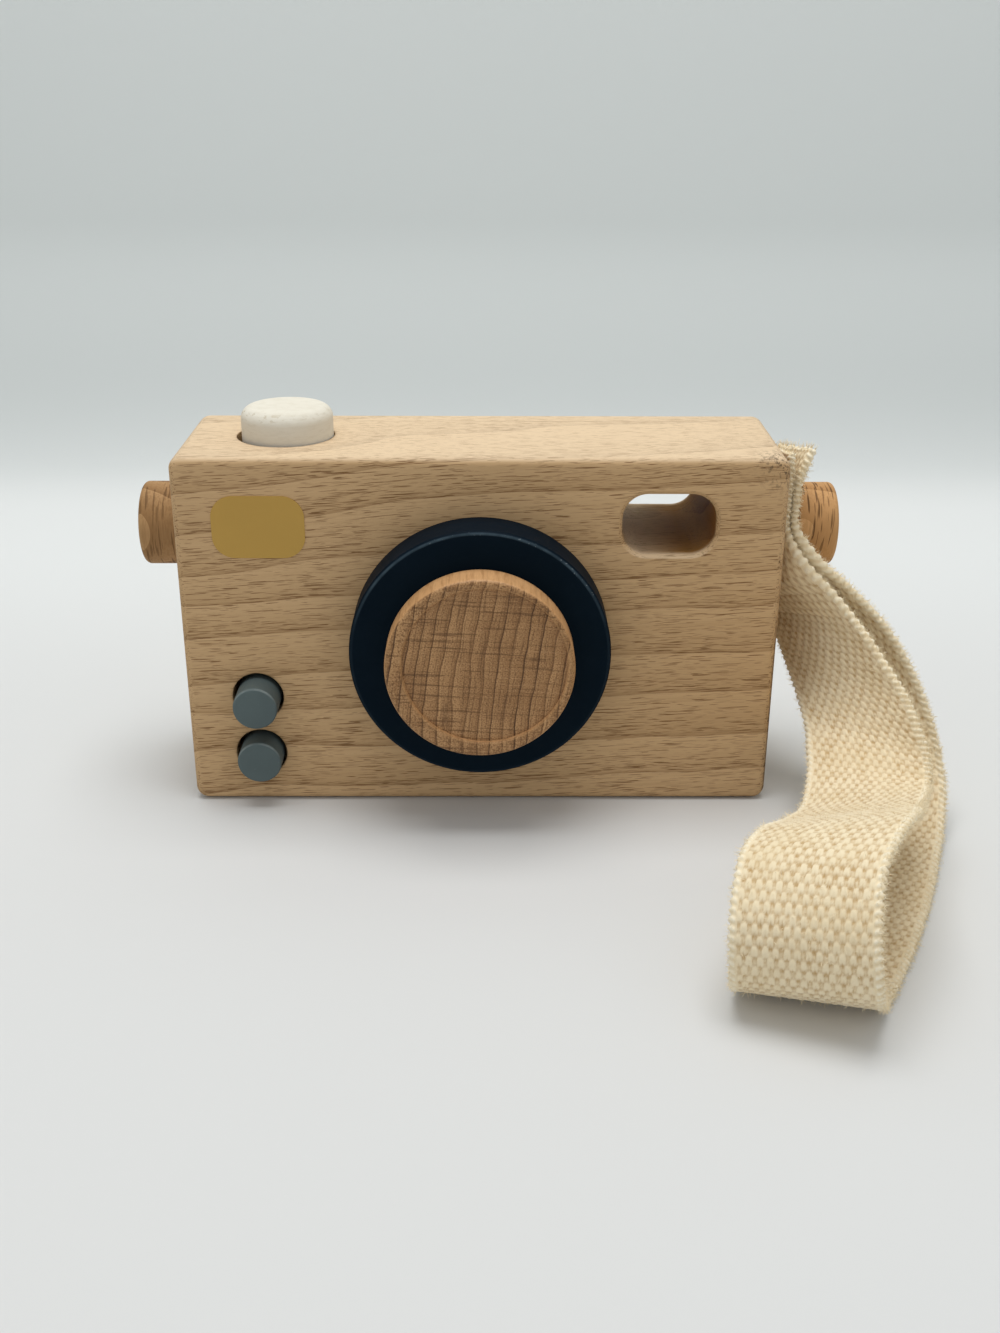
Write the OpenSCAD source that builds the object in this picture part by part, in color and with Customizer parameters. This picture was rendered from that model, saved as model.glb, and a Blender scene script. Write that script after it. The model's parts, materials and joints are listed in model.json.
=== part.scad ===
// Wooden toy camera: a beech block with a turning lens, three sprung push buttons,
// two side knobs and a webbing wrist strap held by the right-hand knob.
// Millimetres. Origin at the middle of the base, +X to the viewer's right, +Y to the back, +Z up.

/* [Body] */
// Width of the block
body_w = 120; // [112:1:140]
// Height of the block
body_h = 74; // [72:1:90]
// Depth of the milled front block
block_d = 29; // [28:0.5:36]
// Depth of the glued back plate
plate_d = 6; // [5:0.5:10]
// Radius of the sanded front and back edges
edge_r = 1.6; // [0.5:0.1:2.4]
// Radius of the outline's corners
corner_r = 2.6; // [2.5:0.1:6]

/* [Viewfinder and flash] */
// Width of the viewfinder slot
finder_w = 18.4; // [14:0.1:22]
// Height of the viewfinder slot
finder_h = 12.3; // [10.5:0.1:15]
// Corner radius of the viewfinder slot
finder_r = 5; // [2:0.1:5]
// Bevel round the slot's two mouths
finder_lip = 0.7; // [0.2:0.1:1]
// From the right side to the middle of the slot
finder_inset = 23; // [22:0.5:30]
// From the top to the middle of the slot
finder_drop = 13.4; // [10:0.1:16]
// Width of the painted flash window
flash_w = 18.2; // [12:0.1:22]
// Height of the painted flash window
flash_h = 12.6; // [9:0.1:15]
// Corner radius of the painted flash window
flash_r = 4.4; // [1:0.1:4.4]
// From the left side to the middle of the flash window
flash_inset = 16.7; // [13:0.1:22]
// From the top to the middle of the flash window
flash_drop = 13.9; // [10:0.1:18]
// Thickness of the paint film
paint_t = 0.15; // [0.1:0.05:0.3]

/* [Lens] */
// Height of the lens axis above the base
lens_z = 36.5; // [33:0.5:42]
// Diameter of the painted ring
ring_dia = 51.5; // [44:0.5:54]
// Thickness of the painted ring
ring_t = 9; // [5:0.5:12]
// Rounding of the ring's front edge
ring_r = 0.8; // [0.5:0.1:3]
// Diameter of the lens
lens_dia = 36.8; // [30:0.2:42]
// Thickness of the lens
lens_t = 6.6; // [6.5:0.1:12]
// Rounding of the lens edges
lens_r = 0.9; // [0.3:0.1:1.5]
// Diameter of the turned recess in the lens
dish_dia = 32; // [20:0.2:32.2]
// Depth of the turned recess
dish_t = 0.9; // [0.4:0.1:1.2]
// Bevel round the lip of the turned recess
dish_lip = 0.3; // [0.1:0.1:0.4]
// How far the recess sits to the right of the lens axis
dish_right = 1; // [0:0.05:1.1]
// How far the recess sits above the lens axis
dish_up = 0.65; // [0:0.05:0.8]
// Diameter of the lens axle
axle_dia = 10; // [8:0.5:12]
// How deep the axle is glued into the lens
axle_seat = 4.5; // [3:0.5:5]
// Diameter of the disc that keeps the axle in
disc_dia = 20; // [16:0.5:24]
// Thickness of the disc that keeps the axle in
disc_t = 4; // [3:0.5:5]

/* [Shutter button] */
// Diameter of the shutter button
shutter_dia = 18.4; // [14:0.1:20]
// Slack between the shutter button and its hole, across both sides
shutter_slack = 1.3; // [0.8:0.1:2]
// How far the button leans to the right in its hole
shutter_lean = 0.4; // [0:0.05:0.5]
// Length of the shutter button
shutter_len = 21; // [18:0.5:24]
// How far the shutter button stands above the block
shutter_proud = 6.1; // [5:0.1:9]
// Rounding of the shutter button's top edge
shutter_r = 2.4; // [0.5:0.1:3]
// From the left side to the middle of the shutter hole
shutter_inset = 20.7; // [20.5:0.1:28]
// Depth of the shutter hole
shutter_depth = 30; // [28:0.5:34]
// How far the shutter button can be pressed
shutter_travel = 4; // [2:0.5:4.5]
// Diameter of the shutter's stop pin
shutter_pin_dia = 4; // [3:0.5:5]
// From the top of the block down to the stop pin
shutter_pin_drop = 10; // [8:0.5:11]
// Wood left in front of the stop pin
shutter_pin_wall = 2; // [1.5:0.1:4]
// How far the stop pin reaches into the back plate
shutter_pin_reach = 3.4; // [2:0.1:3.6]

/* [Side buttons] */
// Diameter of the two small buttons
peg_dia = 9; // [6:0.1:10]
// Slack between a small button and its hole, across both sides
peg_slack = 1.45; // [0.8:0.05:2]
// How far a small button hangs down in its hole
peg_sag = 0.45; // [0:0.05:0.5]
// How far a small button stands out of the front
peg_proud = 4.2; // [3:0.1:6]
// How much further the upper small button stands out
peg_more = 1.1; // [0:0.1:1.8]
// Length of a small button
peg_len = 24.2; // [22:0.1:26]
// Rounding of a small button's front edge
peg_r = 0.5; // [0.2:0.1:1.5]
// From the left side to the middle of the small holes
peg_inset = 14.5; // [13:0.1:20]
// Height of the lower small hole above the base
peg_low_z = 11.1; // [9:0.1:14]
// Distance between the two small holes
peg_pitch = 12.7; // [12.5:0.1:16]
// How far a small button can be pressed
peg_travel = 3; // [1.5:0.5:3.5]
// Diameter of the cross pins in the small buttons
peg_pin_dia = 3; // [2:0.5:4]
// Length of the cross pins in the small buttons
peg_pin_len = 16; // [14:0.5:18]
// Solid wood in front of the cross pins
peg_wall = 14.5; // [13:0.5:16]

/* [Springs] */
// Outer diameter of the shutter spring
shutter_spring_dia = 12; // [9:0.5:14]
// Wire of the shutter spring
shutter_wire = 0.8; // [0.6:0.1:1.2]
// Turns of the shutter spring
shutter_turns = 6; // [4:1:7]
// Outer diameter of the small springs
peg_spring_dia = 6.4; // [5:0.2:7]
// Wire of the small springs
peg_wire = 0.5; // [0.4:0.1:0.8]
// Turns of the small springs
peg_turns = 5; // [3:1:6]
// Depth of the spring seats in the back plate
seat_t = 1.2; // [0.5:0.1:2]

/* [Side knobs] */
// Diameter of the side knobs
knob_dia = 17; // [14:0.5:20]
// Thickness of the side knobs
knob_t = 9.1; // [8.6:0.1:14]
// Rounding of a knob's outer edge
knob_r = 1; // [0.5:0.1:3]
// Rounding of a knob's inner edge
knob_back_r = 1.5; // [0.2:0.1:1.5]
// From the top to the knob axis
knob_drop = 18.5; // [16:0.1:22]
// Diameter of the knob dowels
dowel_dia = 8; // [5:0.5:8]
// How deep a dowel is glued into the block
dowel_depth = 9; // [6:0.5:9]
// How deep a dowel is glued into its knob
dowel_seat = 7; // [5:0.5:8]

/* [Strap] */
// Width of the webbing
strap_w = 25; // [20:1:27]
// Thickness of the webbing
strap_t = 1.6; // [1:0.1:1.8]
// How far the loop reaches out in front of the webbing's clamped stretch
loop_reach = 88.5; // [70:0.5:110]

/* [Clearances] */
// Gap around a glued dowel or pin
glue_gap = 0.05; // [0.02:0.01:0.1]
// Gap around the turning axle
run_gap = 0.05; // [0.02:0.01:0.1]
// Gap between faces that move past or stop against each other
face_gap = 0.3; // [0.2:0.05:0.4]
// Gap on each side of a layer of webbing
layer_gap = 0.1; // [0.05:0.01:0.2]

/* [Hidden] */
$fn = 64;
eps = 0.01;
// Faces of the block
body_d = block_d + plate_d;
front_y = -body_d / 2;
glue_y = front_y + block_d;
side_x = body_w / 2;
// Centres of what is set into the front and the top
finder_x = side_x - finder_inset;
finder_z = body_h - finder_drop;
flash_x = flash_inset - side_x;
flash_z = body_h - flash_drop;
shutter_x = shutter_inset - side_x;
peg_x = peg_inset - side_x;
peg_high_z = peg_low_z + peg_pitch;
knob_z = body_h - knob_drop;
// Holes cut to size for the pieces that run in them
axle_hole = axle_dia + 2 * run_gap;
shutter_hole = shutter_dia + shutter_slack;
peg_hole = peg_dia + peg_slack;
dowel_hole = dowel_dia + 2 * glue_gap;
// Lens, from the block's front face outwards
ring_front_y = front_y - ring_t;
lens_back_y = ring_front_y - face_gap;
lens_front_y = lens_back_y - lens_t;
// Pocket behind the block that holds the axle's disc
disc_pocket_t = disc_t + 2 * face_gap;
disc_front_y = glue_y - disc_t - face_gap;
axle_front_y = lens_back_y - axle_seat;
axle_len = disc_front_y + disc_t - axle_front_y;
// Shutter button, its stop pin and the slot that the pin runs in
shutter_bottom_z = body_h + shutter_proud - shutter_len;
shutter_floor_z = body_h - shutter_depth;
shutter_pin_z = body_h - shutter_pin_drop;
shutter_pin_x = shutter_x + shutter_lean;
shutter_slot_w = shutter_pin_dia + 2 * face_gap;
shutter_slot_h = shutter_pin_dia + shutter_travel + 2 * face_gap;
shutter_slot_z = shutter_pin_z - shutter_travel / 2;
shutter_pin_front_y = shutter_pin_wall - shutter_dia / 2;
// Small buttons, their cross pins and the pocket that they share
pocket_front_y = front_y + peg_wall;
peg_front_y = front_y - peg_proud;
peg_back_y = peg_front_y + peg_len;
peg_pin_y = pocket_front_y + face_gap + peg_pin_dia / 2;
pocket_w = peg_pin_len + 4 * face_gap;
pocket_h = peg_pitch + peg_hole + 2 * face_gap;
pocket_r = 2;
// Webbing layers and the knob outside them
inner_layer = layer_gap + strap_t / 2;
outer_layer = inner_layer + strap_t + layer_gap;
strap_pack = 2 * strap_t + 3 * layer_gap;

// The strap's course: its front (or outer) selvedge, its back selvedge, and its curl there, the power
// that keeps the width flat against the block except near the front selvedge (1 is straight across).
// x counts from the block's side and z is for a knob axis at route_knob_z; strap_w spreads each row,
// and loop_reach stretches what lies in front of route_clamp_y.
route_knob_z = 55.5;
route_w = 25;
route_clamp_y = -12.5;
route_reach = 88.5;
strap_steps = 3;
strap_across = [0, 0.08, 0.18, 0.32, 0.6, 1];
strap_route = [
    // inner layer: cut end, then the clamped stretch beside the block
    [[inner_layer, -12.5, 73.5], [inner_layer, 12.5, 68.5], 8],
    [[inner_layer, -12.5, 68], [inner_layer, 12.5, 59], 8],
    [[inner_layer, -12.5, 63], [inner_layer, 12.5, 50], 8],
    [[inner_layer + 0.4, -12.5, 58], [inner_layer, 12.5, 44], 12],
    // swings away from the block and turns its face to the front
    [[5.2, -14, 52], [inner_layer, 10.5, 39.5], 5.5],
    [[10.5, -15.5, 46.5], [1.3, 8, 36.5], 1.7],
    [[14.5, -18, 42], [2.5, 6, 34], 1],
    [[17.5, -22, 38.5], [3.5, 3.5, 31], 1],
    [[20, -26, 35], [4.5, 1, 28], 1],
    [[22.5, -30, 31.5], [5.5, -2.5, 25], 1],
    [[24, -34, 28.5], [6.5, -7, 22], 1],
    [[25, -37, 25.5], [7, -12.5, 19.5], 1],
    [[26, -40, 22.5], [7, -19, 17.5], 1],
    [[26, -43, 20], [6, -26, 16], 1],
    // dips, then climbs over the open nose of the loop
    [[25, -46.5, 18.5], [5, -32.5, 14.5], 1],
    [[22, -54, 20], [1.5, -44.5, 13], 1],
    [[18.5, -63, 23], [-4, -54.5, 15.5], 1],
    [[15, -72.5, 27.5], [-8, -64, 20], 1],
    [[10, -82, 30], [-12.5, -73, 24], 1],
    [[4.5, -92, 28.5], [-17, -82, 24.5], 1],
    [[2.5, -99.5, 21.5], [-19.5, -90.5, 18], 1],
    [[3.5, -101, 11.5], [-19, -92, 8], 1],
    // outer layer: back along the floor under the inner one
    [[7, -92.5, 2.5], [-17, -85.5, 2], 1],
    [[11, -85, 1], [-12.5, -75, 1], 1],
    [[16, -75.5, 1], [-7, -65.5, 1], 1],
    [[20.5, -66, 1], [-2.5, -56, 1], 1],
    [[25, -55.5, 1], [1.5, -46, 1], 1],
    [[29, -45, 1.5], [5.5, -36, 1], 1],
    // up again outside the inner layer to the knob
    [[32.5, -35.5, 3.5], [9, -26, 2], 1],
    [[34.5, -27, 9.5], [11.5, -16.5, 6], 1],
    [[33, -21, 18.5], [11.5, -8, 12.5], 1],
    [[29, -17, 28.5], [10.5, -2, 20], 1],
    [[22.5, -14.5, 38.5], [8, 2.5, 28], 1],
    [[14, -13.5, 47], [5, 7, 34.5], 1.2],
    [[9.5, -13.5, 51], [outer_layer + 0.2, 10, 38], 4],
    [[outer_layer + 0.6, -12.5, 58.5], [outer_layer, 12.5, 42.5], 14],
    [[outer_layer, -12.5, 63.5], [outer_layer, 12.5, 51], 8],
    [[outer_layer + 0.4, -12.5, 68.5], [outer_layer, 12.5, 60], 4],
    [[5.2, -12, 74], [outer_layer + 0.6, 12.5, 68.5], 2],
];

// Shared shapes

// Rectangle with true arcs at its corners
module round_rect(w, h, r) {
    square([w - 2 * r, h], center = true);
    square([w, h - 2 * r], center = true);
    for (x = [-1, 1], y = [-1, 1])
        translate([x * (w / 2 - r), y * (h / 2 - r)])
            circle(r);
}

// Turned disc from z = 0 to t, with rounded bottom and top edges
module turned_disc(dia, t, bottom_r, top_r) {
    rotate_extrude() {
        translate([0, bottom_r])
            square([dia / 2, t - bottom_r - top_r]);
        square([dia / 2 - bottom_r, t - top_r]);
        translate([0, bottom_r])
            square([dia / 2 - top_r, t - bottom_r]);
        intersection() {
            union() {
                translate([dia / 2 - bottom_r, bottom_r])
                    circle(bottom_r);
                translate([dia / 2 - top_r, t - top_r])
                    circle(top_r);
            }
            square([dia, t]);
        }
    }
}

// Block on the base plane: an outline with corners of radius c, its front and back edges rounded by r
module round_block(w, d, h, c, r) {
    translate([c - w / 2, 0, h / 2])
        rotate([90, 0, 90])
            linear_extrude(w - 2 * c)
                round_rect(d, h, r);
    translate([0, 0, c])
        linear_extrude(h - 2 * c)
            round_rect(w, d, r);
    for (x = [c - w / 2, w / 2 - c], z = [c, h - c])
        translate([x, d / 2, z])
            rotate([90, 0, 0])
                turned_disc(2 * c, d, r, r);
}

// Child shapes that point along +Z are laid along the named axis
module along_x() {
    rotate([0, 90, 0]) children();
}

module along_y() {
    rotate([-90, 0, 0]) children();
}

module to_front() {
    rotate([90, 0, 0]) children();
}

// One unbroken helical tube around z, of 6 sides with 8 rings a turn
function spring_ring(i, mean_r, wire, rise) =
    let (turn = 360 * i / 8)
    [for (k = [0:5])
        let (r = mean_r + wire / 2 * cos(60 * k))
        [r * cos(turn), r * sin(turn), rise * i / 8 + wire / 2 * sin(60 * k)]];

// Two triangles for each side of a swept tube, and a strip of them across each end
function tube_faces(rings, sides) = concat(
    [for (i = [0:rings - 2], k = [0:sides - 1])
        let (a = i * sides, n = (k + 1) % sides)
        each [[a + k, a + n, a + sides + k], [a + n, a + sides + n, a + sides + k]]],
    [for (k = [0:sides / 2 - 2])
        let (m = sides - 1 - k, e = (rings - 1) * sides)
        each [[k, m, k + 1], [k + 1, m, m - 1], [e + k, e + k + 1, e + m], [e + k + 1, e + m - 1, e + m]]]);

module spring(dia, wire, turns, len) {
    rings = 8 * turns + 1;
    rise = (len - wire) / turns;
    points = [for (i = [0:rings - 1]) each spring_ring(i, (dia - wire) / 2, wire, rise)];
    echo(gap_between_turns = norm(points[8 * 6] - points[0]) - wire);
    translate([0, 0, wire / 2])
        polyhedron(points, tube_faces(rings, 6));
}

// Block and plate

module body_shell() {
    round_block(body_w, body_d, body_h, corner_r, edge_r);
}

module finder_slot() {
    translate([finder_x, body_d, finder_z])
        to_front()
            linear_extrude(2 * body_d)
                round_rect(finder_w, finder_h, finder_r);
    finder_mouth();
    mirror([0, 1, 0])
        finder_mouth();
}

// Bevelled front mouth of the slot: a cone at each corner and a tapered bar each way between them
module finder_mouth() {
    half_w = finder_w / 2;
    half_h = finder_h / 2;
    lip = finder_lip + eps;
    translate([finder_x, front_y - eps, finder_z]) {
        for (x = [finder_r - half_w, half_w - finder_r], z = [finder_r - half_h, half_h - finder_r])
            translate([x, 0, z])
                along_y()
                    cylinder(r1 = finder_r + lip, r2 = finder_r, h = lip);
        translate([finder_r - half_w, 0, 0])
            rotate([90, 0, 90])
                linear_extrude(finder_w - 2 * finder_r)
                    polygon([[0, -half_h - lip], [lip, -half_h], [lip, half_h], [0, half_h + lip]]);
        translate([0, 0, finder_r - half_h])
            linear_extrude(finder_h - 2 * finder_r)
                polygon([[-half_w - lip, 0], [half_w + lip, 0], [half_w, lip], [-half_w, lip]]);
    }
}

// Slot that lets the shutter's stop pin travel, up to depth y
module shutter_slot(y_end) {
    translate([shutter_pin_x - shutter_slot_w / 2, 0, shutter_slot_z - shutter_slot_h / 2])
        cube([shutter_slot_w, y_end, shutter_slot_h]);
}

module front_block() {
    color("burlywood")
        difference() {
            intersection() {
                body_shell();
                translate([-body_w, front_y, -eps])
                    cube([2 * body_w, block_d, body_h + 2 * eps]);
            }
            finder_slot();
            // shutter hole and the slot for its stop pin
            translate([shutter_x, 0, shutter_floor_z])
                cylinder(d = shutter_hole, h = shutter_depth + edge_r);
            shutter_slot(glue_y + eps);
            // small holes and the pocket behind them
            for (z = [peg_low_z, peg_high_z])
                translate([peg_x, front_y - eps, z])
                    along_y()
                        cylinder(d = peg_hole, h = peg_wall + 2 * eps);
            translate([peg_x, glue_y + eps, (peg_low_z + peg_high_z) / 2])
                to_front()
                    linear_extrude(glue_y - pocket_front_y + eps)
                        round_rect(pocket_w, pocket_h, pocket_r);
            // lens axle and the pocket for its disc
            translate([0, front_y - eps, lens_z])
                along_y()
                    cylinder(d = axle_hole, h = block_d + 2 * eps);
            translate([0, glue_y - disc_pocket_t, lens_z])
                along_y()
                    cylinder(d = disc_dia + 2 * face_gap, h = disc_pocket_t + eps);
            // sockets for the knob dowels
            for (s = [-1, 1])
                translate([s * side_x, 0, knob_z])
                    along_x()
                        cylinder(d = dowel_hole, h = 2 * (dowel_depth + glue_gap), center = true);
        }
}

module back_plate() {
    color("burlywood")
        difference() {
            intersection() {
                body_shell();
                translate([-body_w, glue_y, -eps])
                    cube([2 * body_w, plate_d, body_h + 2 * eps]);
            }
            finder_slot();
            shutter_slot(glue_y + shutter_pin_reach + face_gap);
            // round seats for the small springs
            for (z = [peg_low_z, peg_high_z])
                translate([peg_x, glue_y - eps, z - peg_sag])
                    along_y()
                        cylinder(d = peg_spring_dia + 2 * face_gap, h = seat_t + eps);
        }
}

module flash_print() {
    color("darkgoldenrod")
        translate([flash_x, front_y, flash_z])
            to_front()
                linear_extrude(paint_t)
                    round_rect(flash_w, flash_h, flash_r);
}

// Lens

module lens_ring() {
    color("midnightblue")
        translate([0, front_y, lens_z])
            to_front()
                difference() {
                    turned_disc(ring_dia, ring_t, glue_gap, ring_r);
                    translate([0, 0, -eps])
                        cylinder(d = axle_hole, h = ring_t + 2 * eps);
                }
}

module lens() {
    color("peru")
        translate([0, lens_back_y, lens_z])
            to_front()
                difference() {
                    turned_disc(lens_dia, lens_t, lens_r / 2, lens_r);
                    translate([dish_right, dish_up, lens_t - dish_t])
                        cylinder(d = dish_dia, h = dish_t + eps);
                    translate([dish_right, dish_up, lens_t - dish_lip])
                        cylinder(d1 = dish_dia, d2 = dish_dia + 2 * (dish_lip + eps), h = dish_lip + eps);
                    translate([0, 0, -eps])
                        cylinder(d = axle_dia + 2 * glue_gap, h = axle_seat + glue_gap + eps);
                }
}

module lens_axle() {
    color("tan")
        translate([0, axle_front_y, lens_z])
            along_y()
                cylinder(d = axle_dia, h = axle_len);
}

module axle_disc() {
    color("tan")
        translate([0, disc_front_y, lens_z])
            along_y()
                difference() {
                    cylinder(d = disc_dia, h = disc_t);
                    translate([0, 0, -eps])
                        cylinder(d = axle_dia + 2 * glue_gap, h = disc_t + 2 * eps);
                }
}

// Shutter button

module shutter_button() {
    color("ivory")
        difference() {
            translate([shutter_pin_x, 0, shutter_bottom_z])
                turned_disc(shutter_dia, shutter_len, shutter_r / 4, shutter_r);
            translate([shutter_pin_x, shutter_pin_front_y - glue_gap, shutter_pin_z])
                along_y()
                    cylinder(d = shutter_pin_dia + 2 * glue_gap, h = shutter_dia);
        }
}

module shutter_pin() {
    color("tan")
        translate([shutter_pin_x, shutter_pin_front_y, shutter_pin_z])
            along_y()
                cylinder(d = shutter_pin_dia, h = glue_y + shutter_pin_reach - shutter_pin_front_y);
}

module shutter_spring() {
    color("silver")
        translate([shutter_pin_x, 0, shutter_floor_z + glue_gap])
            spring(shutter_spring_dia, shutter_wire, shutter_turns,
                shutter_bottom_z - shutter_floor_z - 2 * glue_gap);
}

// Small buttons, each on the axis of its hole less the sag

module peg_button(hole_z, more) {
    color("slategray")
        difference() {
            translate([peg_x, peg_back_y, hole_z - peg_sag])
                to_front()
                    turned_disc(peg_dia, peg_len + more, peg_r / 2, peg_r);
            translate([peg_x, peg_pin_y, hole_z - peg_sag])
                along_x()
                    cylinder(d = peg_pin_dia + 2 * glue_gap, h = peg_pin_len, center = true);
        }
}

module peg_pin(hole_z) {
    color("tan")
        translate([peg_x, peg_pin_y, hole_z - peg_sag])
            along_x()
                cylinder(d = peg_pin_dia, h = peg_pin_len, center = true);
}

module peg_spring(hole_z) {
    color("silver")
        translate([peg_x, peg_back_y + glue_gap, hole_z - peg_sag])
            along_y()
                spring(peg_spring_dia, peg_wire, peg_turns, glue_y + seat_t - peg_back_y - 2 * glue_gap);
}

module upper_button() { peg_button(peg_high_z, peg_more); }

module upper_button_pin() { peg_pin(peg_high_z); }

module upper_button_spring() { peg_spring(peg_high_z); }

module lower_button() { peg_button(peg_low_z, 0); }

module lower_button_pin() { peg_pin(peg_low_z); }

module lower_button_spring() { peg_spring(peg_low_z); }

// Side knobs, turned about +Z with the inner face at z = 0

module knob() {
    difference() {
        turned_disc(knob_dia, knob_t, knob_back_r, knob_r);
        translate([0, 0, -eps])
            cylinder(d = dowel_hole, h = dowel_seat + glue_gap + eps);
    }
}

module left_knob() {
    color("sienna")
        translate([-side_x, 0, knob_z])
            mirror([1, 0, 0])
                along_x()
                    knob();
}

module left_knob_dowel() {
    color("tan")
        translate([-side_x - dowel_seat, 0, knob_z])
            along_x()
                cylinder(d = dowel_dia, h = dowel_seat + dowel_depth);
}

module right_knob() {
    color("sienna")
        translate([side_x + strap_pack, 0, knob_z])
            along_x()
                knob();
}

module right_knob_dowel() {
    color("tan")
        translate([side_x - dowel_depth, 0, knob_z])
            along_x()
                cylinder(d = dowel_dia, h = dowel_depth + strap_pack + dowel_seat);
}

// Strap: a ribbon between the two selvedges, smooth through every row of its course

// Value on the curve through b and c, with a and d as their neighbours
function smooth(a, b, c, d, t) =
    0.5 * (2 * b + (c - a) * t + (2 * a - 5 * b + 4 * c - d) * t * t + (3 * b - a - 3 * c + d) * t * t * t);

function row(i) = strap_route[max(0, min(len(strap_route) - 1, i))];

// What lies in front of the clamped stretch, drawn out to loop_reach
function reach(y) = y < route_clamp_y ? route_clamp_y + (y - route_clamp_y) * loop_reach / route_reach : y;

// Selvedge s (0 front, 1 back) of row i, widened to strap_w and set beside the block
function selvedge(i, s) =
    let (middle = (row(i)[0] + row(i)[1]) / 2)
    let (p = middle + (row(i)[s] - middle) * strap_w / route_w)
    [side_x + p.x, reach(p.y), p.z * knob_z / route_knob_z];

function smooth_selvedge(i, s, t) =
    smooth(selvedge(i - 1, s), selvedge(i, s), selvedge(i + 1, s), selvedge(i + 2, s), t);

// Middle surface of the webbing across its width, t of the way from row i to the next
function strap_line(i, t) =
    let (front = smooth_selvedge(i, 0, t))
    let (back = smooth_selvedge(i, 1, t))
    let (curl = row(i)[2] * (1 - t) + row(i + 1)[2] * t)
    [for (u = strap_across)
        [back.x + (front.x - back.x) * pow(1 - u, curl),
        front.y + (back.y - front.y) * u,
        front.z + (back.z - front.z) * u]];

// Half the thickness, square to the middle surface at line i, point k
function half_thick(lines, i, k) =
    let (run = lines[min(i + 1, len(lines) - 1)][k] - lines[max(i - 1, 0)][k])
    let (width = lines[i][max(k - 1, 0)] - lines[i][min(k + 1, len(strap_across) - 1)])
    let (n = cross(width, run))
    n / norm(n) * strap_t / 2;

module strap() {
    last_row = len(strap_route) - 1;
    last_point = len(strap_across) - 1;
    lines = concat([for (i = [0:last_row - 1], k = [0:strap_steps - 1]) strap_line(i, k / strap_steps)],
        [strap_line(last_row, 0)]);
    points = [for (i = [0:len(lines) - 1]) each concat(
        [for (k = [last_point:-1:0]) lines[i][k] + half_thick(lines, i, k)],
        [for (k = [0:last_point]) lines[i][k] - half_thick(lines, i, k)])];
    color("wheat")
        difference() {
            polyhedron(points, tube_faces(len(lines), 2 * len(strap_across)));
            translate([side_x, 0, knob_z])
                along_x()
                    cylinder(d = dowel_hole, h = strap_pack + layer_gap);
        }
}

front_block();
back_plate();
flash_print();
lens_ring();
lens();
lens_axle();
axle_disc();
shutter_button();
shutter_pin();
shutter_spring();
upper_button();
upper_button_pin();
upper_button_spring();
lower_button();
lower_button_pin();
lower_button_spring();
left_knob();
left_knob_dowel();
right_knob();
right_knob_dowel();
strap();
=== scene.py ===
import json
import math
import random

import bpy
import numpy as np
from mathutils import Matrix, Vector


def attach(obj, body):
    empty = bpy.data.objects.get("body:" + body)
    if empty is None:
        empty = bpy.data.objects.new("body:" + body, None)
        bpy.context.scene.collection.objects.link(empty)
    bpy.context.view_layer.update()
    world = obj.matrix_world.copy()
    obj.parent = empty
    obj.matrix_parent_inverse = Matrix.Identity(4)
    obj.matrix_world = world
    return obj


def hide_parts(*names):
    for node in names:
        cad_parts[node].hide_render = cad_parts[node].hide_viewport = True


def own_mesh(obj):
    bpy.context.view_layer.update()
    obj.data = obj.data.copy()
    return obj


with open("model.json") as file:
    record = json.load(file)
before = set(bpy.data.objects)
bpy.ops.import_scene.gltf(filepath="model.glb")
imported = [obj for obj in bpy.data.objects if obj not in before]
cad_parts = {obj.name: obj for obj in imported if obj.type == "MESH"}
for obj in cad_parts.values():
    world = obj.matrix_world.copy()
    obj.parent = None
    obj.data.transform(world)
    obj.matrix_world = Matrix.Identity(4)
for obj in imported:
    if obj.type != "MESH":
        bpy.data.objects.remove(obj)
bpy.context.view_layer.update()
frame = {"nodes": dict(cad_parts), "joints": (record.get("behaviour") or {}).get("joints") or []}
NODES = frame["nodes"]
SCENE = bpy.context.scene
SCENE.view_settings.view_transform = "Standard"
MM = 0.001


# Node graphs

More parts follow.
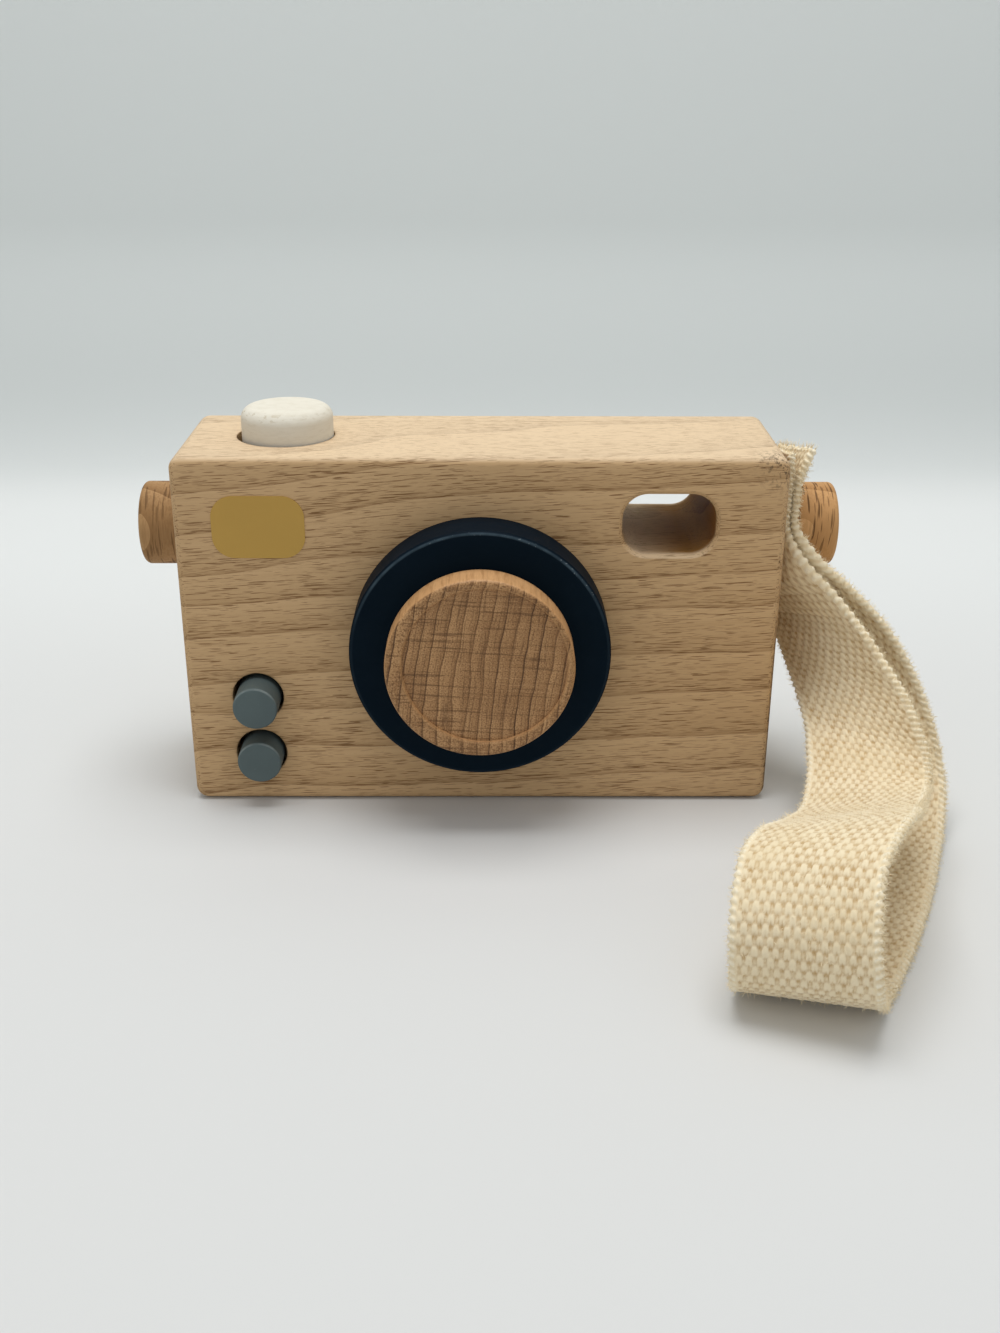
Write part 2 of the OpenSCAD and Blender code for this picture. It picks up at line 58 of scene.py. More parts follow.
class Graph:
    """A material with one Principled shader, and short calls that add and link nodes."""

    def __init__(self, name, **values):
        self.material = bpy.data.materials.new(name)
        self.material.use_nodes = True
        self.tree = self.material.node_tree
        self.shader = self.tree.nodes["Principled BSDF"]
        self.put(self.shader, values)
        self.coords = self.add("ShaderNodeTexCoord").outputs["Object"]

    def put(self, node, values):
        for key, value in values.items():
            socket = node.inputs[key if isinstance(key, int) else key.replace("_", " ")]
            if isinstance(value, bpy.types.NodeSocket):
                self.tree.links.new(value, socket)
            else:
                socket.default_value = value

    def add(self, kind, settings=None, **inputs):
        node = self.tree.nodes.new(kind)
        for key, value in (settings or {}).items():
            setattr(node, key, value)
        self.put(node, inputs)
        return node

    def math(self, operation, a, b=0.0):
        node = self.add("ShaderNodeMath", {"operation": operation})
        self.put(node, {0: a, 1: b})
        return node.outputs[0]

    def plus(self, a, b):
        return self.math("ADD", a, b)

    def minus(self, a, b):
        return self.math("SUBTRACT", a, b)

    def times(self, first, *others):
        for other in others:
            first = self.math("MULTIPLY", first, other)
        return first

    def squared(self, a):
        return self.math("POWER", a, 2.0)

    def distance(self, a, b):
        return self.math("SQRT", self.plus(self.squared(a), self.squared(b)))

    def split(self, vector=None):
        return self.add("ShaderNodeSeparateXYZ", Vector=vector or self.coords).outputs

    def join(self, x, y, z):
        return self.add("ShaderNodeCombineXYZ", X=x, Y=y, Z=z).outputs[0]

    def normal(self):
        return self.split(self.add("ShaderNodeNewGeometry").outputs["Normal"])

    def noise(self, rates, detail=3.0, roughness=0.5, vector=None):
        """Noise with its own rate, per metre, along each axis."""
        place = self.add("ShaderNodeVectorMath", {"operation": "MULTIPLY"})
        self.put(place, {0: vector or self.coords, 1: rates})
        return self.add("ShaderNodeTexNoise", Vector=place.outputs[0], Scale=1.0, Detail=detail,
                        Roughness=roughness).outputs["Fac"]

    def ramp(self, factor, low, high, to_low=0.0, to_high=1.0):
        node = self.add("ShaderNodeMapRange", {"interpolation_type": "SMOOTHSTEP"})
        self.put(node, {"Value": factor, "From Min": low, "From Max": high, "To Min": to_low, "To Max": to_high})
        return node.outputs[0]

    def mix(self, factor, a, b, blend="MIX"):
        node = self.add("ShaderNodeMix", {"data_type": "RGBA", "blend_type": blend})
        self.put(node, {0: factor, 6: a, 7: b})
        return node.outputs[2]

    def bevel(self, radius):
        return self.add("ShaderNodeBevel", {"samples": 6}, Radius=radius).outputs[0]

    def bump(self, height, strength, distance, normal=None):
        node = self.add("ShaderNodeBump", Height=height, Strength=strength, Distance=distance)
        if normal is not None:
            self.put(node, {"Normal": normal})
        return node.outputs[0]

    def finish(self, **values):
        self.put(self.shader, values)
        return self.material


def rgb(r, g, b):
    """Display colour, 0 to 255, as linear RGBA."""
    def linear(c):
        return c / 255 / 12.92 if c <= 10.3 else ((c / 255 + 0.055) / 1.055) ** 2.4

    return linear(r), linear(g), linear(b), 1.0


def paint(names, material):
    for name in names:
        slots = NODES[name].data.materials
        slots.clear()
        slots.append(material)


# Camera at the photograph's viewpoint, solved from the block's edges

PITCH, YAW, ROLL = 23.5, 0.40, 0.21          # degrees: down, to the right, and about the line of sight
EYE = (0.0021, -0.2876, 0.1480)
FOCAL_MM, SENSOR_MM = 39.14, 36.0


def add_camera():
    pitch, yaw, roll = (math.radians(a) for a in (PITCH, YAW, ROLL))
    ahead = Vector((math.sin(yaw) * math.cos(pitch), math.cos(yaw) * math.cos(pitch), -math.sin(pitch)))
    right = Vector((math.cos(yaw), -math.sin(yaw), 0.0))
    up = right.cross(ahead)
    right, up = (math.cos(roll) * right + math.sin(roll) * up, math.cos(roll) * up - math.sin(roll) * right)
    data = bpy.data.cameras.new("photo_view")
    data.sensor_width = SENSOR_MM
    data.lens = FOCAL_MM
    data.clip_start = 0.01
    camera = bpy.data.objects.new("photo_view", data)
    SCENE.collection.objects.link(camera)
    camera.matrix_world = Matrix((
        (right.x, up.x, -ahead.x, EYE[0]),
        (right.y, up.y, -ahead.y, EYE[1]),
        (right.z, up.z, -ahead.z, EYE[2]),
        (0, 0, 0, 1)))
    SCENE.camera = camera


add_camera()


# Strap: one length of 25 mm webbing along the part's own course, in millimetres

IN, OUT = 0.9, 2.6               # middles of the two clamped layers, from the block's side
# Rows along the strap: front selvedge, back selvedge, and the curl, a power that keeps the width flat against
# the block except near the front selvedge. x counts from the block's side.
COURSE = [
    ((IN, -12.5, 73.5), (IN, 12.5, 68.5), 8),
    ((IN, -12.5, 68), (IN, 12.5, 59), 8),
    ((IN, -12.5, 63), (IN, 12.5, 50), 8),
    ((IN + 0.4, -12.5, 58), (IN, 12.5, 44), 12),
    ((5.2, -14, 52), (IN, 10.5, 39.5), 5.5),
    ((10.5, -15.5, 46.5), (1.3, 8, 36.5), 1.7),
    ((14.5, -18, 42), (2.5, 6, 34), 1),
    ((17.5, -22, 38.5), (3.5, 3.5, 31), 1),
    ((20, -26, 35), (4.5, 1, 28), 1),
    ((22.5, -30, 31.5), (5.5, -2.5, 25), 1),
    ((24, -34, 28.5), (6.5, -7, 22), 1),
    ((25, -37, 25.5), (7, -12.5, 19.5), 1),
    ((26, -40, 22.5), (7, -19, 17.5), 1),
    ((26, -43, 20), (6, -26, 16), 1),
    ((25, -46.5, 18.5), (5, -32.5, 14.5), 1),
    ((22, -54, 20), (1.5, -44.5, 13), 1),
    ((18.5, -63, 23), (-4, -54.5, 15.5), 1),
    ((15, -72.5, 27.5), (-8, -64, 20), 1),
    ((10, -82, 30), (-12.5, -73, 24), 1),
    ((4.5, -92, 28.5), (-17, -82, 24.5), 1),
    ((2.5, -99.5, 21.5), (-19.5, -90.5, 18), 1),
    ((3.5, -101, 11.5), (-19, -92, 8), 1),
    ((7, -92.5, 2.5), (-17, -85.5, 2), 1),
    ((11, -85, 1), (-12.5, -75, 1), 1),
    ((16, -75.5, 1), (-7, -65.5, 1), 1),
    ((20.5, -66, 1), (-2.5, -56, 1), 1),
    ((25, -55.5, 1), (1.5, -46, 1), 1),
    ((29, -45, 1.5), (5.5, -36, 1), 1),
    ((32.5, -35.5, 3.5), (9, -26, 2), 1),
    ((34.5, -27, 9.5), (11.5, -16.5, 6), 1),
    ((33, -21, 18.5), (11.5, -8, 12.5), 1),
    ((29, -17, 28.5), (10.5, -2, 20), 1),
    ((22.5, -14.5, 38.5), (8, 2.5, 28), 1),
    ((14, -13.5, 47), (5, 7, 34.5), 1.2),
    ((9.5, -13.5, 51), (OUT + 0.2, 10, 38), 4),
    ((OUT + 0.6, -12.5, 58.5), (OUT, 12.5, 42.5), 14),
    ((OUT, -12.5, 63.5), (OUT, 12.5, 51), 8),
    ((OUT + 0.4, -12.5, 68.5), (OUT, 12.5, 60), 4),
    ((5.2, -12, 74), (OUT + 0.6, 12.5, 68.5), 2),
]
SIDE_X, FRONT_Y = 60.0, -17.5    # the block's right side and its front
KNOB_Z = 55.5                    # height of the knob's axis
HOLE_R = 4.6                     # hole for the knob's dowel
CLAMP_MID, CLAMP_HALF = 1.75, 2.2    # the layers that the hole goes through, from the block's side
STRAP_W = 25.0
PICK = 1.72                      # weft row pitch
STEP = PICK / 6                  # mesh step along the strap
TUFT = 1.79                      # pitch of the tufts in one row
TUFT_LONG, TUFT_LEAN = 1.28, 0.40    # half length of a tuft, and how much higher it starts than it ends
LEG_OUT, LEG_OPEN, LEG_R = 0.24, 0.16, 0.40    # a tuft's two legs: half distance, how far they open, half width
WEFT_R, WEFT_LONG, WEFT_HIGH = 0.52, 0.72, 0.62    # weft that shows between the tufts
GRIT = 0.05                      # random part of the relief
BEAD_AT, BEAD_R = 11.70, 0.84    # selvedge cord
LUMP = 1.45                      # pitch of the selvedge's lumps
BASE, RELIEF = 0.42, 0.36        # half thickness between the tufts, and how far they stand above it
# Each tuft's own height, place and tone, by row and column
CHANCE = np.random.default_rng(7)
TUFT_ROWS, TUFT_COLUMNS = 400, 40
TUFT_HIGH = CHANCE.uniform(0.82, 1.0, (TUFT_ROWS, TUFT_COLUMNS))
TUFT_SIDE = CHANCE.uniform(-0.08, 0.08, (TUFT_ROWS, TUFT_COLUMNS))
TUFT_TONE = CHANCE.uniform(-0.12, 0.12, (TUFT_ROWS, TUFT_COLUMNS))


def smooth_through(points, t):
    """Points of the curve through the rows, at row numbers t."""
    last = len(points) - 1
    i = np.clip(t.astype(int), 0, last - 1)
    f = (t - i)[:, None]
    a, b, c, d = (points[np.clip(i + k, 0, last)] for k in (-1, 0, 1, 2))
    return 0.5 * (2 * b + (c - a) * f + (2 * a - 5 * b + 4 * c - d) * f ** 2 + (3 * b - a - 3 * c + d) * f ** 3)


def unit(vectors):
    return vectors / np.linalg.norm(vectors, axis=-1)[..., None]


def strap_surface(across):
    """Middle surface of the webbing on even steps along it: points[step, across], and the distance along."""
    front = np.array([row[0] for row in COURSE], float)
    back = np.array([row[1] for row in COURSE], float)
    curl = np.array([row[2] for row in COURSE], float)
    t = np.linspace(0, len(COURSE) - 1, 4000)
    middle = (smooth_through(front, t) + smooth_through(back, t)) / 2
    run = np.concatenate([[0], np.cumsum(np.linalg.norm(np.diff(middle, axis=0), axis=1))])
    along = np.linspace(0, run[-1], int(run[-1] / STEP) + 1)
    t = np.interp(along, run, t)
    f, b = smooth_through(front, t), smooth_through(back, t)
    power = np.interp(t, np.arange(len(curl)), curl)[:, None]
    u = (across / STRAP_W + 0.5)[None, :]
    points = f[:, None] * (1 - u)[..., None] + b[:, None] * u[..., None]
    points[..., 0] = b[:, None, 0] + (f - b)[:, None, 0] * np.clip(1 - u, 0, 1) ** power
    points[..., 0] += SIDE_X
    return points, along


def dome(distance, half, power):
    """1 in the middle, falling to 0 at the half width."""
    return np.clip(1 - (distance / half) ** 2, 0, 1) ** power


def weave_height(across, along, side):
    """Half thickness, tone and sideways lumps of one face: two-legged warp tufts in offset rows, and a cord at
    each selvedge."""
    s, v = np.broadcast_arrays(across[None, :], along[:, None])
    relief = np.zeros(s.shape)
    tone = np.zeros(s.shape)
    nearest = np.rint(v / PICK).astype(int)
    for row in (nearest - 1, nearest, nearest + 1):
        offset = 0.5 * ((row + side) % 2)
        column = np.rint(s / TUFT - offset).astype(int)
        pick = (row % TUFT_ROWS, (column + TUFT_COLUMNS // 2) % TUFT_COLUMNS)
        from_column = s - TUFT * (column + offset)
        ds = from_column - TUFT_SIDE[pick]
        dv = v - PICK * row
        lift = dome(dv, TUFT_LONG, 0.6) * (1.0 - TUFT_LEAN * dv / TUFT_LONG)
        spread = LEG_OUT + LEG_OPEN * dv / TUFT_LONG
        legs = np.maximum(dome(ds - spread, LEG_R, 0.4), dome(ds + spread, LEG_R, 0.4))
        bump = legs * lift * TUFT_HIGH[pick]
        tone = np.where(bump > relief, TUFT_TONE[pick], tone)
        relief = np.maximum(relief, bump)
        weft = dome(TUFT / 2 - np.abs(from_column), WEFT_R, 0.5) * dome(dv, WEFT_LONG, 0.5)
        relief = np.maximum(relief, WEFT_HIGH * weft)
    relief = relief + np.random.default_rng(21 + side).normal(0, GRIT, s.shape)
    body = BASE + RELIEF * relief
    out = np.abs(s) - BEAD_AT
    drift = 0.9 * np.sin(v / 7.3 + side) + 0.6 * np.sin(v / 2.9)
    lump = np.cos(2 * math.pi * v / LUMP + drift + 1.5 * side + 1.7 * out / BEAD_R)
    cord = np.sqrt(np.clip(BEAD_R ** 2 - out ** 2, 0.0, None)) * (0.82 + 0.22 * lump)
    edge = np.clip((np.abs(s) - (BEAD_AT - 0.6)) / 0.3, 0, 1)
    height = body * (1 - edge) + np.maximum(cord, 0.02) * edge
    # The tone is painted shade in the gaps and painted highlight on the tufts' crests and the cord's lumps, both from
    # the relief, plus each tuft's own random tone.
    shade = np.clip(np.clip(relief, 0, None) ** 1.3 + tone, 0, 1) * (1 - edge) + (1.15 + 0.15 * lump) * edge
    return height, shade, 0.26 * np.sign(s) * lump * np.clip(out / BEAD_R, 0, 1)


def mesh_object(name, vertices, faces, tone, place):
    """Smooth mesh in metres, with its cotton tone and its place on the cloth."""
    mesh = bpy.data.meshes.new(name)
    mesh.from_pydata(vertices.tolist(), [], [tuple(dict.fromkeys(f)) for f in faces])
    mesh.polygons.foreach_set("use_smooth", np.ones(len(mesh.polygons), bool))
    mesh.attributes.new("weave", "FLOAT", "POINT").data.foreach_set("value", np.asarray(tone, np.float32))
    loops = np.zeros(len(mesh.loops), int)
    mesh.loops.foreach_get("vertex_index", loops)
    mesh.uv_layers.new(name="cloth").data.foreach_set("uv", place[loops].ravel())
    mesh.update()
    piece = bpy.data.objects.new(name, mesh)
    SCENE.collection.objects.link(piece)
    return piece


def cells(grid):
    """Corner numbers of every cell of a grid of vertices."""
    return np.stack([grid[:-1, :-1], grid[:-1, 1:], grid[1:, 1:], grid[1:, :-1]], -1)


def build_strap():
    """The woven band, and the surface that its loose fibres start from."""
    inside = BEAD_AT - 0.55
    body = np.linspace(-inside, inside, 106)
    cord = BEAD_AT + BEAD_R * np.array([-0.5, -0.2, 0.15, 0.5, 0.75, 0.92, 0.999])
    across = np.concatenate([-cord[::-1], body, cord])
    points, along = strap_surface(across)
    run = np.gradient(points, axis=0)
    normal = unit(np.cross(-np.gradient(points, axis=1), run))
    top_h, top_shade, lumps = weave_height(across, along, 0)
    low_h, low_shade, _ = weave_height(across, along, 1)
    lumpy = points + unit(np.cross(normal, run)) * lumps[..., None]
    top = lumpy + normal * top_h[..., None]
    low = lumpy - normal * low_h[..., None]
    rows, columns = top_h.shape
    vertices = np.concatenate([top.reshape(-1, 3), low.reshape(-1, 3)])
    vertices[:, 2] = np.maximum(vertices[:, 2], 0.0)
    index = np.arange(rows * columns).reshape(rows, columns)
    under = index + rows * columns
    # cells cut out for the knob's dowel
    centre = (points[:-1, :-1] + points[1:, 1:]) / 2
    keep = ((np.hypot(centre[..., 1], centre[..., 2] - KNOB_Z) > HOLE_R)
            | (np.abs(centre[..., 0] - SIDE_X - CLAMP_MID) > CLAMP_HALF))
    faces = [cells(index)[keep][:, ::-1], cells(under)[keep]]
    # walls round the rim and the hole
    solid = np.pad(keep, 1)
    low_side, high_side = slice(None, -1), slice(1, None)
    for di, dj, a, b in ((0, -1, (low_side, low_side), (high_side, low_side)),
                         (0, 1, (high_side, high_side), (low_side, high_side)),
                         (-1, 0, (low_side, high_side), (low_side, low_side)),
                         (1, 0, (high_side, low_side), (high_side, high_side))):
        beside = solid[1 + di:solid.shape[0] - 1 + di, 1 + dj:solid.shape[1] - 1 + dj]
        rim = keep & ~beside
        faces.append(np.stack([index[a][rim], index[b][rim], under[b][rim], under[a][rim]], -1)[:, ::-1])
    faces = np.concatenate(faces)
    used = np.zeros(len(vertices), bool)
    used[faces.ravel()] = True
    renumber = np.cumsum(used) - 1
    tone = np.concatenate([top_shade.ravel(), low_shade.ravel()])
    place = np.stack(np.broadcast_arrays(across[None, :], along[:, None]), -1).reshape(-1, 2)
    # the under face has a stretch of the cloth's pattern of its own
    place = np.concatenate([place, place + (2 * STRAP_W, 0.0)])
    strap = mesh_object("strap_webbing", vertices[used] * MM, renumber[faces], tone[used], place[used] * MM)
    return strap, across, points, normal, unit(run), (top_h, low_h)


def tube(path, radii, sides):
    """Vertices and faces of a closed tube along a path."""
    axis = unit(np.gradient(path, axis=0))
    side = unit(np.cross(axis, np.where(np.abs(axis[:, :1]) < 0.8, [[1.0, 0, 0]], [[0, 1.0, 0]])))
    other = np.cross(axis, side)
    turn = np.arange(sides) * 2 * math.pi / sides
    ring = side[:, None] * np.cos(turn)[None, :, None] + other[:, None] * np.sin(turn)[None, :, None]
    vertices = (path[:, None] + ring * np.asarray(radii)[:, None, None]).reshape(-1, 3)
    vertices = np.concatenate([vertices, path[:1], path[-1:]])
    first, last = len(vertices) - 2, len(vertices) - 1
    faces = []
    for i in range(len(path) - 1):
        for k in range(sides):
            n = (k + 1) % sides
            faces.append((i * sides + k, i * sides + n, (i + 1) * sides + n, (i + 1) * sides + k))
    e = (len(path) - 1) * sides
    for k in range(sides):
        n = (k + 1) % sides
        faces.append((n, k, first, first))
        faces.append((e + k, e + n, last, last))
    return vertices, faces


YARNS, HAIRS = 30, 7             # loose yarns at each cut end, and fine fibres at each yarn


def frayed_ends(points, normal, run, across):
    """Loose yarn ends and stray fibres at the two cut ends of the webbing."""
    pick = random.Random(11)
    vertices, faces, tone, place = [], [], [], []

    def add(path, gap, radii, value, where, sides):
        path = np.array([np.maximum(p, (SIDE_X + gap, -np.inf, -np.inf)) for p in path])
        v, f = tube(path, radii, sides)
        start = sum(len(part) for part in vertices)
        vertices.append(v)
        faces.extend([tuple(start + i for i in face) for face in f])
        tone.extend([value] * len(v))
        place.extend([where] * len(v))

    for row, sign, reach in ((0, -1.0, 1.0), (-1, 1.0, 1.25)):
        for k in range(YARNS):
            s = -12.2 + 24.4 * k / (YARNS - 1) + pick.uniform(-0.25, 0.25)
            j = int(np.abs(across - s).argmin())
            up = normal[row, j]
            base = points[row, j] - sign * 0.5 * run[row, j] + up * pick.uniform(-0.35, 0.35)
            sideways = unit(points[row, min(j + 1, len(across) - 1)] - points[row, max(j - 1, 0)])
            lean = sign * run[row, j] + sideways * pick.uniform(-0.35, 0.35) + up * pick.uniform(-0.25, 0.45)
            length = reach * pick.uniform(0.35, 0.9)
            yarn = [base + lean * length * f + up * 0.12 * f * f for f in (0, 0.35, 0.7, 0.92, 1.0)]
            thick = pick.uniform(0.36, 0.52)
            radii = [thick * w for w in (0.9, 1.0, 1.05, 0.85, 0.45)]
            add(yarn, 0.35, radii, pick.uniform(0.95, 1.3), (s, 0.0), 7)
            for _ in range(HAIRS):
                tip = lean * length * pick.uniform(0.9, 2.0) + np.array([pick.gauss(0, 0.4) for _ in range(3)])
                start = base + lean * length * 0.5
                hair = [start, start + tip * 0.45 + up * pick.uniform(-0.1, 0.1), start + tip * 0.8]
                add(hair, 0.3, (0.05, 0.045, 0.02), pick.uniform(0.7, 1.0), (s, 0.0), 3)
    return mesh_object("strap_frayed_ends", np.concatenate(vertices) * MM, faces, tone, np.array(place) * MM)


FIBRES = 26000
FIBRE_R = 0.04
END_ROWS, EDGE_COLUMNS = 8, 6    # bare steps at the cut ends, and the mesh columns of a selvedge


def strap_fuzz(points, normal, run, across, heights):
    """Short stray fibres that stand off both faces, thickest along the selvedges."""
    chance = np.random.default_rng(5)
    rows = chance.integers(END_ROWS, len(points) - END_ROWS, FIBRES)
    at_edge = chance.random(FIBRES) < 0.65
    at_front = chance.random(FIBRES) < 0.7
    front_edge = chance.integers(0, EDGE_COLUMNS, FIBRES)
    back_edge = len(across) - 1 - chance.integers(0, EDGE_COLUMNS, FIBRES)
    between = chance.integers(EDGE_COLUMNS, len(across) - EDGE_COLUMNS, FIBRES)
    columns = np.where(at_edge, np.where(at_front, front_edge, back_edge), between)
    face = np.where(chance.random(FIBRES) < 0.5, 1.0, -1.0)
    high = np.where(face > 0, heights[0][rows, columns], heights[1][rows, columns])
    up = normal[rows, columns] * face[:, None]
    base = points[rows, columns] + up * (high - 0.05)[:, None]
    beside = np.where(np.abs(across[columns]) > 11, np.sign(across[columns]), 0)[:, None]
    sideways = np.cross(normal[rows, columns], run[rows, columns]) * beside
    lean = unit(up * chance.uniform(0.2, 0.9, (FIBRES, 1)) + sideways * 0.9 + chance.normal(0, 0.55, (FIBRES, 3)))
    length = chance.uniform(0.3, 1.35, (FIBRES, 1))
    curl = chance.normal(0, 0.22, (FIBRES, 3)) * length
    half = FIBRE_R * unit(np.cross(lean, chance.normal(0, 1, (FIBRES, 3))))
    middle = base + lean * length * 0.55 + curl
    tip = base + lean * length
    vertices = np.stack([base - half, base + half, middle + half * 0.8, middle - half * 0.8, tip], 1)
    clear = (vertices[:, :, 0].min(1) > SIDE_X + 0.2) | (vertices[:, :, 1].max(1) < FRONT_Y - 0.3)
    keep = (vertices[:, :, 2].min(1) > 0.05) & clear
    vertices = vertices[keep].reshape(-1, 3)
    starts = range(0, len(vertices), 5)
    faces = [(i, i + 1, i + 2, i + 3) for i in starts] + [(i + 3, i + 2, i + 4) for i in starts]
    place = np.repeat(np.stack([across[columns], rows * STEP], 1)[keep], 5, 0)
    return mesh_object("strap_fuzz", vertices * MM, faces, np.full(len(vertices), 1.1), place * MM)


def strap_material():
    """Undyed cotton: painted shade in the gaps of the weave and painted highlight on its crests, from the weave
    attribute; palest on the selvedges and loose fibres.
    """
    g = Graph("cotton_webbing", Roughness=0.92, Sheen_Weight=0.2, Sheen_Roughness=0.5, Specular_IOR_Level=0.15)
    weave = g.add("ShaderNodeAttribute", {"attribute_name": "weave"}).outputs["Fac"]
    cloth = g.add("ShaderNodeUVMap", {"uv_map": "cloth"}).outputs[0]
    fibre = g.noise((7000, 1500, 1), 3.0, 0.6, cloth)
    patch = g.noise((130, 130, 1), 2.0, vector=cloth)
    colour = g.mix(g.ramp(weave, 0.0, 0.85), rgb(188, 154, 103), rgb(240, 224, 190))
    colour = g.mix(g.ramp(weave, 1.0, 1.3, 0.0, 0.8), colour, rgb(250, 242, 219))
    colour = g.mix(g.ramp(fibre, 0.4, 0.75, 0.0, 0.3), colour, rgb(245, 234, 207))
    colour = g.mix(g.ramp(patch, 0.4, 0.7, 0.0, 0.2), colour, rgb(218, 194, 148))
    return g.finish(Base_Color=colour, Normal=g.bump(fibre, 0.4, 0.00012))


strap, cloth_across, cloth_points, cloth_normal, cloth_run, cloth_heights = build_strap()
ends = frayed_ends(cloth_points, cloth_normal, cloth_run, cloth_across)
fuzz = strap_fuzz(cloth_points, cloth_normal, cloth_run, cloth_across, cloth_heights)
cotton = strap_material()
for piece in (strap, ends, fuzz):
    piece.data.materials.append(cotton)
    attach(piece, "camera_body")
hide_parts("strap")


# Wood, in metres

AXES = {"X": (0, 1, 2), "Y": (1, 2, 0), "Z": (2, 0, 1)}    # along the grain, then across it
GRAIN_RISE = 0.055               # how much the grain lines slope
FLECK_LAYERS = ((1.0, 1.0), (1.25, 0.9), (1.6, 0.7))    # how much finer each layer of flecks is, and its strength
FLECK_FROM, FLECK_FULL = 0.69, 0.74    # noise levels where a fleck starts and is full
BLOCK_CORNER = (0.0595, -0.0165, 0.0735)    # the block's upper right front corner
FINDER_X, FINDER_Z = 0.037, 0.0606
FINDER_PAINTED_SHADE = (0.50, 0.32, 0.11, 1.0)
DISH_X, DISH_Z = 0.0010, 0.03715    # middle of the lens's recess
RINGS_PER_M = 390.0


def beech(name, light, dark, fleck, grain, cell=(100.0, 3000.0, 3000.0), band=0.0078, depth=0.85, painted_top_light=None,
          straight=False):
    """Beech with its grain along one axis: sloping growth bands, fine streaks, and thin dark ray flecks.

    cell is the flecks' rate along and across the grain, and band the width of one growth band. Straight wood
    has calmer flecks and a thin line at the edge of each band.
    """
    g = Graph(name, Roughness=0.62, Specular_IOR_Level=0.1)
    axes = g.split()
    a, b, c = (axes[i] for i in AXES[grain])
    sway = g.noise((16.0, 22.0, 22.0), 2.0, vector=g.join(a, b, c))
    rise = g.times(a, GRAIN_RISE)
    slope = g.minus(g.times(sway, 0.006), rise)
    b2, c2 = g.plus(b, slope), g.plus(c, slope)
    run = g.join(a, b2, c2)
    line = g.join(a, b, g.plus(c, g.minus(g.times(sway, 0.002), rise))) if straight else run
    uneven = g.noise((3, 60, 60), 1.0, vector=run)
    across = g.plus(g.times(c2, 0.92), g.times(b2, 0.39))
    phase = g.math("FRACT", g.plus(g.math("DIVIDE", across, band), g.times(uneven, 1.6)))
    late = g.minus(1.0, phase)
    streaks = g.noise((36, 2300, 2300), 3.0, 0.6, line)
    patch = g.noise((20, 90, 90), 2.0, vector=run)
    colour = g.mix(g.times(g.math("POWER", late, 1.3), 0.8), light, dark)
    colour = g.mix(g.ramp(streaks, 0.38, 0.72, 0.0, 0.5), colour, dark)
    colour = g.mix(g.ramp(patch, 0.35, 0.7, 0.0, 0.3), colour, light)
    if straight:
        colour = g.mix(g.ramp(late, 0.88, 0.98, 0.0, 0.21), colour, fleck)
    flecks = None
    for finer, strength in FLECK_LAYERS:
        dash = g.noise([rate * finer for rate in cell], 1.0, 0.4, line)
        dash = g.plus(dash, g.plus(g.times(late, 0.05), g.times(patch, 0.05)))
        mask = g.ramp(dash, FLECK_FROM, FLECK_FULL, 0.0, strength)
        flecks = g.math("MAXIMUM", flecks, mask) if flecks else mask
    # Painted light: faces that look up get a lighter colour and fainter flecks, as if lit from above.
    if painted_top_light:
        face_up = g.ramp(g.normal()[2], 0.3, 0.95)
        colour = g.mix(g.times(face_up, 0.6), colour, painted_top_light)
        depth = g.minus(depth, g.times(face_up, 0.3))
    colour = g.mix(g.times(flecks, depth), colour, fleck)
    height = g.minus(g.times(streaks, 0.4), flecks)
    return g, colour, g.bump(height, 0.3, 0.00008, g.bevel(0.0006))


def block_material():
    """Block wood: scuffed at the corner and edge beside the strap, with painted shade low on that edge and inside the
    finder.
    """
    g, colour, normal = beech("beech_block", rgb(202, 169, 127), rgb(180, 147, 106), rgb(108, 74, 42), "X",
                              cell=(170.0, 3900.0, 3900.0), depth=0.78, painted_top_light=rgb(232, 211, 180),
                              straight=True)
    x, y, z = g.split()
    away = g.add("ShaderNodeVectorMath", {"operation": "DISTANCE"})
    g.put(away, {0: g.coords, 1: BLOCK_CORNER})
    corner = g.ramp(away.outputs["Value"], 0.0085, 0.002)
    edge = g.times(g.ramp(x, 0.0583, 0.0597), g.ramp(y, -0.0160, -0.0172), 0.6)
    speck = g.ramp(g.noise((1500, 1500, 1100), 3.0, 0.65), 0.5, 0.62)
    scuff = g.times(g.math("MAXIMUM", corner, edge), speck)
    colour = g.mix(g.times(scuff, 0.7), colour, rgb(78, 66, 54))
    # Painted shade, broken up by specks, low on the right front edge where the block's side turns into shadow.
    low_edge_shade = g.times(g.ramp(x, 0.0593, 0.0598), g.ramp(y, -0.0145, -0.0158), g.ramp(z, 0.046, 0.030))
    colour = g.mix(g.times(low_edge_shade, g.ramp(speck, 0.0, 1.0, 0.55, 0.9)), colour, rgb(66, 52, 40))
    # Painted shade inside the finder, fading out towards its left end.
    wide = g.math("ABSOLUTE", g.minus(x, FINDER_X))
    tall = g.math("ABSOLUTE", g.minus(z, FINDER_Z))
    deep = g.math("ABSOLUTE", y)
    inside = g.times(g.ramp(wide, 0.0100, 0.0093), g.ramp(tall, 0.0070, 0.00625), g.ramp(deep, 0.0172, 0.0150))
    inside = g.times(inside, g.ramp(x, 0.0285, 0.0420))
    colour = g.mix(inside, colour, FINDER_PAINTED_SHADE, "MULTIPLY")
    return g.finish(Base_Color=colour, Normal=normal)


def knob_material(name, light, dark, fleck, depth):
    g, colour, normal = beech(name, light, dark, fleck, "Z", cell=(95.0, 1500.0, 110.0), band=0.0052, depth=depth)
    return g.finish(Base_Color=colour, Normal=normal)


